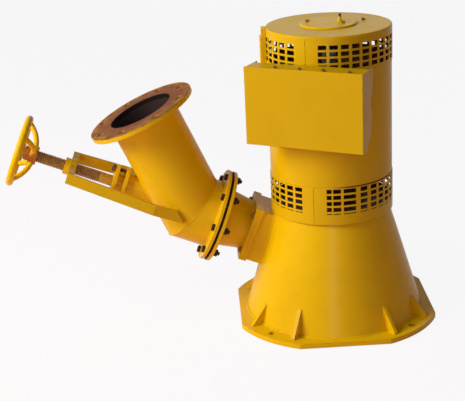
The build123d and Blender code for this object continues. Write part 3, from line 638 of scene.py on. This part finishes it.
def threadTree():
    # a screw thread: one strip a pitch wide, wound round so that its turns join
    tree, given, result = newTree("screwThread", [
        ("Length", "Float", 0.1), ("Radius", "Float", 0.019), ("Depth", "Float", 0.003),
        ("Pitch", "Float", 0.006), ("Steps", "Int", 28), ("Finish", "Material", None)])
    turns = sums(tree, "SUBTRACT", sums(tree, "DIVIDE", given["Length"], given["Pitch"]), 1.0)
    strip = wire(tree, "GeometryNodeMeshGrid", {
        "Size X": 1.0, "Size Y": 1.0, "Vertices Y": 7,
        "Vertices X": sums(tree, "MULTIPLY", turns, given["Steps"])}, "Mesh")
    split = addNode(tree, "ShaderNodeSeparateXYZ")
    feed(tree, split.inputs[0], addNode(tree, "GeometryNodeInputPosition").outputs[0])
    wound = sums(tree, "MULTIPLY", sums(tree, "ADD", split.outputs["X"], 0.5), turns)
    across = sums(tree, "ADD", split.outputs["Y"], 0.5)
    crest = sums(tree, "SUBTRACT", 1.0, sums(tree, "ABSOLUTE", sums(
        tree, "SUBTRACT", sums(tree, "MULTIPLY", across, 2.0), 1.0)))
    lift = mapRange(tree, crest, 0.30, 0.68)
    radius = sums(tree, "SUBTRACT", given["Radius"], sums(
        tree, "MULTIPLY", given["Depth"], sums(tree, "SUBTRACT", 1.0, lift)))
    place = polar(tree, radius, sums(tree, "MULTIPLY", wound, 2 * pi), sums(
        tree, "MULTIPLY", given["Pitch"], sums(tree, "ADD", wound, across)))
    bent = wire(tree, "GeometryNodeSetPosition", {"Geometry": strip, "Position": place})
    sealed = wire(tree, "GeometryNodeMergeByDistance", {"Geometry": bent, "Distance": 0.00005})
    core = wire(tree, "GeometryNodeMeshCylinder", {
        "Vertices": 40, "Depth": given["Length"],
        "Radius": sums(tree, "SUBTRACT", given["Radius"], sums(
            tree, "MULTIPLY", given["Depth"], 0.9))}, "Mesh")
    rise = wire(tree, "ShaderNodeCombineXYZ", {"Z": sums(tree, "DIVIDE", given["Length"], 2.0)})
    lifted = wire(tree, "GeometryNodeTransform", {"Geometry": core, "Translation": rise})
    both = addNode(tree, "GeometryNodeJoinGeometry")
    feed(tree, both.inputs[0], sealed)
    feed(tree, both.inputs[0], lifted)
    finishTree(tree, given, result, both.outputs[0])
    return tree


def spotsTree():
    tree, given, result = newTree("partsOnSpots", [("Geometry", "Geometry", None)] + commonInputs)
    spots = wire(tree, "GeometryNodeMeshToPoints", {"Mesh": given["Geometry"]})
    finishTree(tree, given, result, scatterParts(tree, given, spots))
    return tree


trees = {"circle": circleTree(), "drilled": drilledTree(), "grid": gridTree(),
         "bead": beadTree(), "thread": threadTree(), "spots": spotsTree()}
print("node trees ready")


# Meshes built ring by ring, such as the fasteners that the trees repeat
def ringOf(bm, radius, z, count):
    return [bm.verts.new((radius * cos(2 * pi * i / count), radius * sin(2 * pi * i / count), z))
            for i in range(count)]


def skin(bm, rings):
    # faces between each ring and the next, where a ring of one point is a tip
    for lower, upper in zip(rings, rings[1:]):
        count = max(len(lower), len(upper))
        for i in range(count):
            j = (i + 1) % count
            if len(lower) == 1:
                bm.faces.new((lower[0], upper[j], upper[i]))
            elif len(upper) == 1:
                bm.faces.new((lower[i], lower[j], upper[0]))
            else:
                bm.faces.new((lower[i], lower[j], upper[j], upper[i]))


def capEnds(bm, rings):
    # a flat face over the last ring and under the first
    bm.faces.new(rings[-1])
    bm.faces.new(reversed(rings[0]))


def hexPrism(bm, width, low, high, chamfer):
    radius = width / sqrt(3)
    rings = [ringOf(bm, reach, z, 6) for reach, z in (
        (radius, low), (radius, high - chamfer), (radius - 1.7 * chamfer, high))]
    skin(bm, rings)
    capEnds(bm, rings)


def roundBar(bm, profile, count):
    # a closed turned shape from (radius, z) pairs that start and end on the axis
    skin(bm, [ringOf(bm, radius, z, count if radius else 1) for radius, z in profile])


def meshFrom(bm, name):
    bmesh.ops.recalc_face_normals(bm, faces=bm.faces)
    mesh = bpy.data.meshes.new(name)
    bm.to_mesh(mesh)
    bm.free()
    return mesh


def partFrom(mesh, name):
    # an object for the trees to repeat, removed at the end
    part = bpy.data.objects.new(name, mesh)
    scene.collection.objects.link(part)
    return part


def fastener(name, width, head, washer, washerRadius, stud=0.0, studRadius=0.0):
    # washer, hex head or nut, and the stud's end with a small chamfer, standing on z = 0
    bm = bmesh.new()
    roundBar(bm, [(0, 0), (washerRadius, 0), (washerRadius, washer * 0.7),
                  (washerRadius - washer * 0.3, washer), (0, washer)], 24)
    hexPrism(bm, width, washer, washer + head, head * 0.12)
    if stud > 0:
        top = washer + head
        roundBar(bm, [(0, top - 0.001), (studRadius, top - 0.001),
                      (studRadius, top + stud - 0.001), (studRadius - 0.001, top + stud),
                      (0, top + stud)], 20)
    return partFrom(meshFrom(bm, name), name)


def partSet(name, tree, part, body, slot, place, finish="bolt", **settings):
    # copies of one small part as one piece, set out by a tree
    settings.update({"Part": part, "Finish": finishes[finish]})
    mesh = runTree(trees[tree], name, settings)
    return keepPiece(name, mesh, finish, body, place)


# The round flange pair of the nozzle: its bolt circle stands straight, unlike the CAD rings' holes
flangePair = {"outer": 0.151, "thickness": 0.014, "groove": 0.005, "edge": 0.001, "hole": 0.009,
              "bodyBore": 0.10325, "stubBore": 0.087}
flangeBolts = {"count": 8, "radius": 0.1315, "headFace": 0.412, "nutFace": 0.382,
               "head": {"width": 0.020, "head": 0.007, "washer": 0.002, "washerRadius": 0.0115},
               "nut": {"width": 0.020, "head": 0.012, "washer": 0.0025, "washerRadius": 0.0125,
                       "stud": 0.006, "studRadius": 0.006}}
portUp = Vector((nozzleOut.z, 0, -nozzleOut.x))


def drilledFlange(name, bore, place):
    # a turned ring, its joint face at z = 0 with a broad bevel that opens the gap at the rim
    outer, thick = flangePair["outer"], flangePair["thickness"]
    groove, edge = flangePair["groove"], flangePair["edge"]
    profile = [(bore, 0), (outer - groove, 0), (outer, groove * 0.7), (outer, thick - edge),
               (outer - edge, thick), (bore, thick)]
    bm = bmesh.new()
    rings = [ringOf(bm, radius, z, 128) for radius, z in profile]
    skin(bm, rings + rings[:1])
    made = runTree(trees["drilled"], name, {
        "Count": flangeBolts["count"], "Radius": flangeBolts["radius"],
        "Hole": flangePair["hole"], "Finish": finishes["flangePair"]}, meshFrom(bm, name + "Ring"))
    return keepPiece(name, made, "flangePair", "root", place)


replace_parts(drilledFlange("bodyFlangeRing", flangePair["bodyBore"], placeAt(
    onNozzle(flangeBolts["headFace"] - flangePair["thickness"]), nozzleOut, portUp)), "body_flange")
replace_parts(drilledFlange("stubFlangeRing", flangePair["stubBore"], placeAt(
    onNozzle(flangeBolts["nutFace"] + flangePair["thickness"]), -nozzleOut, portUp)), "stub_flange")
flangeHead = fastener("flangeHead", **flangeBolts["head"])
flangeNut = fastener("flangeNut", **flangeBolts["nut"])
for name, part, face, out, seed in (("flangeBoltHeads", flangeHead, "headFace", nozzleOut, 4),
                                    ("flangeNuts", flangeNut, "nutFace", -nozzleOut, 9)):
    partSet(name, "circle", part, "root", "dark_steel",
            placeAt(onNozzle(flangeBolts[face]), out, portUp),
            Count=flangeBolts["count"], Radius=flangeBolts["radius"], Seed=seed)

# The square flange pair of the casing port stands straight too
portBolts = {"face": 0.298, "rise": 0.124, "span": 0.156,
             "nut": {"width": 0.017, "head": 0.006, "washer": 0.0015, "washerRadius": 0.0105,
                     "stud": 0.0015, "studRadius": 0.005}}
portNut = fastener("portNut", **portBolts["nut"])
partSet("portNuts", "grid", portNut, "root", "dark_steel",
        placeAt(onNozzle(portBolts["face"]), nozzleOut, portUp), "screw",
        Columns=2, Rows=2, Span=portBolts["span"], Rise=portBolts["rise"], Seed=6)

# Gland nuts on the two studs, and the studs' threads
gland = {"face": 0.758, "radius": 0.045, "studLow": 0.712, "studHigh": 0.772, "studRadius": 0.006,
         "pitch": 0.00175, "depth": 0.0009,
         "nut": {"width": 0.019, "head": 0.010, "washer": 0.0025, "washerRadius": 0.012}}
glandNut = fastener("glandNut", **gland["nut"])
partSet("glandNuts", "circle", glandNut, "root", "dark_steel",
        placeAt(onNozzle(gland["face"]), nozzleOut, nozzleUp), "stud",
        Count=2, Radius=gland["radius"], Seed=2)
studMesh = runTree(trees["thread"], "studThread", {
    "Length": gland["studHigh"] - gland["studLow"], "Radius": gland["studRadius"],
    "Depth": gland["depth"], "Pitch": gland["pitch"], "Steps": 16, "Finish": finishes["stud"]})
stud = partFrom(studMesh, "studThread")
studs = partSet("glandStudThreads", "circle", stud, "root", "dark_steel",
                placeAt(onNozzle(gland["studLow"]), nozzleOut, nozzleUp), "stud",
                Count=2, Radius=gland["radius"], Seed=5)
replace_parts(studs, "gland_studs")


def spotScrews(name, part, spots, finish, seed):
    # the same screw on each of a few spots, standing upright on what carries it
    mesh = bpy.data.meshes.new(name + "Spots")
    mesh.from_pydata(spots, [], [])
    made = runTree(trees["spots"], name, {"Part": part, "Finish": finishes[finish],
                                          "Seed": seed}, mesh)
    return keepPiece(name, made, finish, "root")


# Screws in the top cover and the bearing cap
coverScrews = {"coverTop": 0.938, "capTop": 0.943, "cover": [(0.112, 0.035)],
               "cap": [(-0.062, 0.028), (0.042, -0.024)],
               "screw": {"width": 0.010, "head": 0.005, "washer": 0.0015, "washerRadius": 0.0065}}
smallScrew = fastener("smallScrew", **coverScrews["screw"])
spotScrews("coverScrews", smallScrew,
           [(x, y, coverScrews["coverTop"]) for x, y in coverScrews["cover"]]
           + [(x, y, coverScrews["capTop"]) for x, y in coverScrews["cap"]], "screw", 3)

# Screws along the top of the terminal box, behind the edge of its lid
boxFrame = {"angle": radians(-28.5), "back": 0.200, "depth": 0.064, "top": 0.854, "low": 0.620,
            "shift": 0.023, "width": 0.369, "screws": (-0.0685, 0.0094, 0.083, 0.1634),
            "screwInset": 0.010}
boxOut = Vector((sin(boxFrame["angle"]), -cos(boxFrame["angle"]), 0))
boxAlong = Vector((cos(boxFrame["angle"]), sin(boxFrame["angle"]), 0))
screwLine = boxOut * (boxFrame["back"] + boxFrame["depth"] - boxFrame["screwInset"])
spotScrews("boxScrews", smallScrew,
           [screwLine + boxAlong * s + Vector((0, 0, boxFrame["top"]))
            for s in boxFrame["screws"]], "screw", 8)
print("fasteners done")

# The spindle's thread stands for the plain bar
spindle = {"low": 0.800, "high": 1.055, "radius": 0.0188, "depth": 0.0022, "pitch": 0.006}
threadMesh = runTree(trees["thread"], "spindleThread", {
    "Length": spindle["high"] - spindle["low"], "Radius": spindle["radius"],
    "Depth": spindle["depth"], "Pitch": spindle["pitch"], "Finish": finishes["thread"]})
spindleThread = keepPiece("spindleThread", threadMesh, "thread", "wheel",
                          placeAt(onNozzle(spindle["low"]), nozzleOut, nozzleUp))
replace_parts(spindleThread, "spindle")
print("spindle thread done")


# Weld beads follow edge paths worked out from the sizes of the plates
def ringPath(centre, out, up, radius, count=96):
    side = out.cross(up).normalized()
    return [centre + (up * cos(2 * pi * i / count) + side * sin(2 * pi * i / count)) * radius
            for i in range(count)]


def weld(name, loops, width, closed=True):
    mesh = bpy.data.meshes.new(name)
    points, edges = [], []
    for loop in loops:
        first = len(points)
        points += loop
        edges += [(first + i, first + i + 1) for i in range(len(loop) - 1)]
        if closed:
            edges.append((first + len(loop) - 1, first))
    mesh.from_pydata(points, edges, [])
    made = runTree(trees["bead"], name, {"Width": width, "Finish": finishes["paint"]}, mesh)
    return keepPiece(name, made, "paint", "root")


upZ = Vector((0, 0, 1))
xAxis = Vector((1, 0, 0))
beads = {"casingFoot": 0.0035, "flanges": 0.003, "mitre": 0.0012, "portBox": 0.0032,
         "stuffingBox": 0.0026, "yokeFeet": 0.0022, "saddle": 0.0024, "gussets": 0.0020}
cone = {"foot": 0.285, "top": 0.1835, "low": 0.016, "high": 0.354}
coneSlope = (cone["top"] - cone["foot"]) / (cone["high"] - cone["low"])
weld("casingFootWeld", [ringPath(upZ * cone["low"], upZ, xAxis, cone["foot"] + 0.001, 180)],
     beads["casingFoot"])
pipeWelds = {"pipe": 0.10955, "rings": ((0.412, 0.10955), (0.382, 0.095), (0.298, 0.081)),
             "inletBack": 0.351}
weld("flangeWelds", [ringPath(onNozzle(station), nozzleOut, nozzleUp, radius)
                     for station, radius in pipeWelds["rings"]] + [
    ringPath(elbowPoint + inletOut * pipeWelds["inletBack"], inletOut, nozzleSide,
             pipeWelds["pipe"])], beads["flanges"])


def mitrePath(radius, count=96):
    # the ellipse where the two tubes meet, both cut by the plane between their axes
    path = []
    slant = tan(nozzleOut.angle(inletOut) / 2)
    for i in range(count):
        up = radius * cos(2 * pi * i / count)
        side = radius * sin(2 * pi * i / count)
        path.append(onNozzle(elbowStation - up * slant, up, side))
    return path


weld("mitreWeld", [mitrePath(pipeWelds["pipe"])], beads["mitre"])


# The port box meets the cone along a path found by running lines in along the nozzle
portBox = {"jet": Vector((0, 0.058, 0.166)), "half": 0.085, "steps": 20}


def coneHit(start):
    reach = cone["foot"] + coneSlope * (start.z - cone["low"])
    lean = coneSlope * nozzleOut.z
    a = nozzleOut.x ** 2 + nozzleOut.y ** 2 - lean ** 2
    b = 2 * (start.x * nozzleOut.x + start.y * nozzleOut.y - reach * lean)
    c = start.x ** 2 + start.y ** 2 - reach ** 2
    return start + nozzleOut * ((-b + sqrt(b * b - 4 * a * c)) / (2 * a))


corners = [(-1, -1), (1, -1), (1, 1), (-1, 1)]


def squarePath(half, steps):
    # points along the four sides of a square round the axis
    path = []
    for (x0, y0), (x1, y1) in zip(corners, corners[1:] + corners[:1]):
        path += [(half * (x0 + (x1 - x0) * i / steps), half * (y0 + (y1 - y0) * i / steps))
                 for i in range(steps)]
    return path


portSide = nozzleOut.cross(portUp)
weld("portBoxWeld", [[coneHit(portBox["jet"] + portUp * up + portSide * side)
                      for up, side in squarePath(portBox["half"], portBox["steps"])]],
     beads["portBox"])


def pipeHit(up, side, radius):
    # station on the nozzle's line where a parallel line leaves the inlet pipe
    across = nozzleUp * up + nozzleSide * side
    along = nozzleOut.dot(inletOut)
    lean = across.dot(inletOut)
    a = 1 - along * along
    c = up * up + side * side - lean * lean - radius * radius
    return elbowStation + (along * lean + sqrt(along * along * lean * lean - a * c)) / a


stuffingWeld = {"tube": 0.042, "count": 64}
loop = []
for i in range(stuffingWeld["count"]):
    angle = 2 * pi * i / stuffingWeld["count"]
    up, side = stuffingWeld["tube"] * cos(angle), stuffingWeld["tube"] * sin(angle)
    loop.append(onNozzle(pipeHit(up, side, pipeWelds["pipe"]), up, side))
weld("stuffingBoxWeld", [loop], beads["stuffingBox"])

# Beads where the slanted ends of the yoke's arms lie on the pipe
armFoot = {"station": 0.523, "slant": radians(44), "half": 0.0175, "steps": 8}
ends = []
for sign in (-1, 1):
    end = []
    for i in range(armFoot["steps"] + 1):
        up = armFoot["half"] * (2 * i / armFoot["steps"] - 1)
        side = sqrt(pipeWelds["pipe"] ** 2 - up ** 2)
        end.append(onNozzle(armFoot["station"] + up * tan(armFoot["slant"]), up, side * sign))
    ends.append(end)
weld("yokeFootWelds", ends, beads["yokeFeet"], closed=False)

# Bead round the saddle behind the terminal box
saddle = {"halfWidth": 0.110, "halfHeight": 0.078}
saddleCentre = boxOut * boxFrame["back"] + boxAlong * boxFrame["shift"] + Vector(
    (0, 0, (boxFrame["top"] + boxFrame["low"]) / 2))
weld("saddleWeld", [[saddleCentre + boxAlong * saddle["halfWidth"] * u
                     + upZ * saddle["halfHeight"] * v for u, v in corners]], beads["saddle"])

# Gussets in pairs beside each anchor hole, cut by hand: stouter than the plain plates, uneven
gusset = {"reach": 0.036, "thickness": 0.011, "toe": 0.005, "crown": 0.002, "sunk": 0.003,
          "heights": {30: 0.067, 60: 0.072, 120: 0.069, 150: 0.066, 210: 0.062, 240: 0.079,
                      300: 0.074, 330: 0.062}}
gussetTip = cone["foot"] + gusset["reach"]
bm = bmesh.new()
loops = []
for angle, height in gusset["heights"].items():
    out = Vector((cos(radians(angle)), sin(radians(angle)), 0))
    across = out.cross(upZ) * gusset["thickness"] / 2
    top = cone["low"] + height
    wall = cone["foot"] + coneSlope * height
    outline = [(cone["foot"] - gusset["sunk"], cone["low"]), (gussetTip, cone["low"]),
               (gussetTip, cone["low"] + gusset["toe"]), (wall + gusset["crown"], top),
               (wall - gusset["sunk"], top)]
    sides = [[bm.verts.new(out * r + upZ * z + across * way) for r, z in outline]
             for way in (-1, 1)]
    skin(bm, sides)
    capEnds(bm, sides)
    for way in (-1, 1):
        loops.append([out * r + upZ * z + across * way for r, z in (
            (gussetTip, cone["low"]), (cone["foot"], cone["low"]), (wall, top))])
plates = keepPiece("gussetPlates", meshFrom(bm, "gussetPlates"), "paint", "root")
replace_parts(plates, "base_gussets")
weld("gussetWelds", loops, beads["gussets"], closed=False)
print("welds done")

# Coil ends above and below the core: two staggered rows of bent loops
coils = {"count": 36, "halfWidth": 0.030, "height": 0.030, "wire": 0.0052, "rows": (0.129, 0.151)}


def coilLoop():
    bm = bmesh.new()
    sides, steps = 8, 14
    rings = []
    for i in range(steps + 1):
        swing = pi * i / steps
        middle = Vector((0, -coils["halfWidth"] * cos(swing), coils["height"] * sin(swing) ** 0.7))
        along = Vector((0, coils["halfWidth"] * sin(swing),
                        coils["height"] * cos(swing))).normalized()
        up = along.cross(xAxis)
        rings.append([bm.verts.new(middle + (xAxis * cos(2 * pi * k / sides)
                                             + up * sin(2 * pi * k / sides)) * coils["wire"])
                      for k in range(sides)])
    skin(bm, rings)
    capEnds(bm, rings)
    for face in bm.faces:
        face.smooth = True
    return partFrom(meshFrom(bm, "coilLoop"), "coilLoop")


coil = coilLoop()
for label, facing, node in (("upper", 1, "upper_windings"), ("lower", -1, "lower_windings")):
    low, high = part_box(node)
    foot = Vector((0, 0, low[2] if facing > 0 else high[2]))
    for row, radius in enumerate(coils["rows"]):
        piece = partSet(f"{label}CoilEnds{row + 1}", "circle", coil, "root", "copper_winding",
                        placeAt(foot, Vector((0, 0, facing)), xAxis), "copper",
                        Count=coils["count"], Radius=radius, Start=row * pi / coils["count"],
                        Twist=0.0, Follow=1.0, Seed=row)
        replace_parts(piece, node)
print("coil ends done")

# What the trees repeated has been copied into the pieces
for part in (flangeHead, flangeNut, portNut, glandNut, smallScrew, stud, coil):
    bpy.data.objects.remove(part)

# The camera where the photograph was taken from
view = {"place": (-0.4068, -3.5692, 1.6422), "right": (0.9981, -0.0410, -0.0460),
        "up": (0.0570, 0.3303, 0.9422), "lens": 91.65, "sensor": 36.0}
camera = bpy.data.objects.new("camera", bpy.data.cameras.new("camera"))
scene.collection.objects.link(camera)
right = Vector(view["right"]).normalized()
back = right.cross(Vector(view["up"])).normalized()
upward = back.cross(right)
camera.matrix_world = (Matrix.Translation(Vector(view["place"]))
                       @ Matrix((right, upward, back)).transposed().to_4x4())
camera.data.lens = view["lens"]
camera.data.sensor_width = view["sensor"]
camera.data.sensor_fit = "HORIZONTAL"
scene.camera = camera

# Pale floor and plain studio light
floorLook = {"half": 14, "drop": 0.0005, "own": (0.985, 0.985, 1.0, 1), "ownLight": 0.92,
             "bounce": (0.98, 0.68, 0.66, 1)}
floorMesh = bpy.data.meshes.new("floor")
floorMesh.from_pydata([(floorLook["half"] * x, floorLook["half"] * y, 0) for x, y in corners], [],
                      [(0, 1, 2, 3)])
floor = bpy.data.objects.new("floor", floorMesh)
floor.location.z = -floorLook["drop"]
scene.collection.objects.link(floor)


def seenDirectly(tree):
    # 1 for the camera and in reflections, 0 for what only lights the rest
    rays = addNode(tree, "ShaderNodeLightPath").outputs
    return sums(tree, "MAXIMUM", rays["Is Camera Ray"], sums(
        tree, "MAXIMUM", rays["Is Glossy Ray"], rays["Is Transmission Ray"]))


def floorSurface():
    material = bpy.data.materials.new("paleFloor")
    material.use_nodes = True
    tree = material.node_tree
    tree.nodes.clear()
    mixed = wire(tree, "ShaderNodeMixShader", {
        0: sums(tree, "MULTIPLY", seenDirectly(tree), floorLook["ownLight"]),
        1: wire(tree, "ShaderNodeBsdfDiffuse", {"Color": floorLook["bounce"]}),
        2: wire(tree, "ShaderNodeEmission", {"Color": floorLook["own"]})})
    feed(tree, addNode(tree, "ShaderNodeOutputMaterial").inputs["Surface"], mixed)
    return material


floorMesh.materials.append(floorSurface())

# A warm surround lights the machine, and shows white to the camera and in reflections
surround = {"light": 0.145, "shown": 0.95, "left": (1.0, 0.80, 0.30, 1),
            "right": (0.88, 0.28, 0.46, 1), "sideways": (-0.5, 0.5),
            "above": (1.0, 1.0, 0.75, 1), "upwards": (0.2, 0.9), "white": (1, 1, 1, 1)}
world = bpy.data.worlds.new("studio")
world.use_nodes = True
scene.world = world
worldTree = world.node_tree
background = worldTree.nodes["Background"]
seen = seenDirectly(worldTree)
feed(worldTree, background.inputs["Strength"],
     mapRange(worldTree, seen, 0.0, 1.0, surround["light"], surround["shown"]))
toward = addNode(worldTree, "ShaderNodeSeparateXYZ")
feed(worldTree, toward.inputs[0], addNode(worldTree, "ShaderNodeTexCoord").outputs["Generated"])
around = mixColor(worldTree, mapRange(worldTree, toward.outputs["X"], *surround["sideways"]),
                  surround["left"], surround["right"])
warmth = mixColor(worldTree, mapRange(worldTree, toward.outputs["Z"], *surround["upwards"]),
                  around, surround["above"])
feed(worldTree, background.inputs["Color"], mixColor(worldTree, seen, warmth, surround["white"]))

# The strip only shows as a soft streak down the front of the cone
lamps = {
    "key": {"place": (-3.85, -1.25, 2.75), "size": (2.4, 2.4), "power": 198.0,
            "color": (1.0, 0.945, 0.80)},
    "front": {"place": (-0.6, -4.6, 2.2), "size": (2.6, 2.6), "power": 12.0,
              "color": (1.0, 0.945, 0.80)},
    "strip": {"place": (-0.52, -4.6, 0.95), "size": (0.22, 1.6), "power": 17.0,
              "color": (1.0, 1.0, 1.0)},
}
aim = Vector((-0.3, 0.0, 0.45))
for name, lamp in lamps.items():
    light = bpy.data.lights.new(name, "AREA")
    light.shape = "RECTANGLE"
    light.size, light.size_y = lamp["size"]
    light.energy = lamp["power"]
    light.color = lamp["color"]
    holder = bpy.data.objects.new(name, light)
    holder.location = lamp["place"]
    holder.rotation_euler = (aim - Vector(lamp["place"])).to_track_quat("-Z", "Y").to_euler()
    holder.visible_camera = False
    holder.visible_diffuse = name != "strip"
    scene.collection.objects.link(holder)
print("camera and light set")
